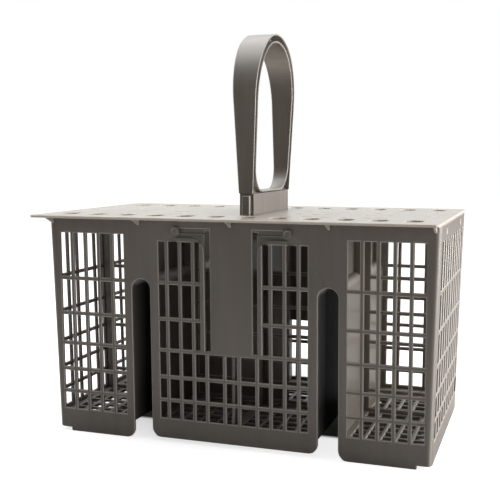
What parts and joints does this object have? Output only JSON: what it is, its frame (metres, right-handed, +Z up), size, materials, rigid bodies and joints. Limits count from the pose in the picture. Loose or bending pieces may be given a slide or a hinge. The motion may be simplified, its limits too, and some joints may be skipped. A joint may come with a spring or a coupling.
{
  "type": "dishwasher cutlery basket",
  "caption": "Moulded grey plastic dishwasher cutlery basket: an open grille body with channels underneath that straddle rack wires, a slotted lid and a tall loop handle.",
  "frame": {"origin": "under the middle of the lid's outline, on the plane that the body's feet stand on", "axes": "+X to the right along the body, +Y to the back, +Z up"},
  "size_m": [0.2482, 0.152, 0.25],
  "materials": {
    "grey_plastic": "fine satin, as moulded"
  },
  "bodies": {
    "root": {"basket_body": "grey_plastic", "lid": "grey_plastic", "handle": "grey_plastic"}
  },
  "joints": []
}
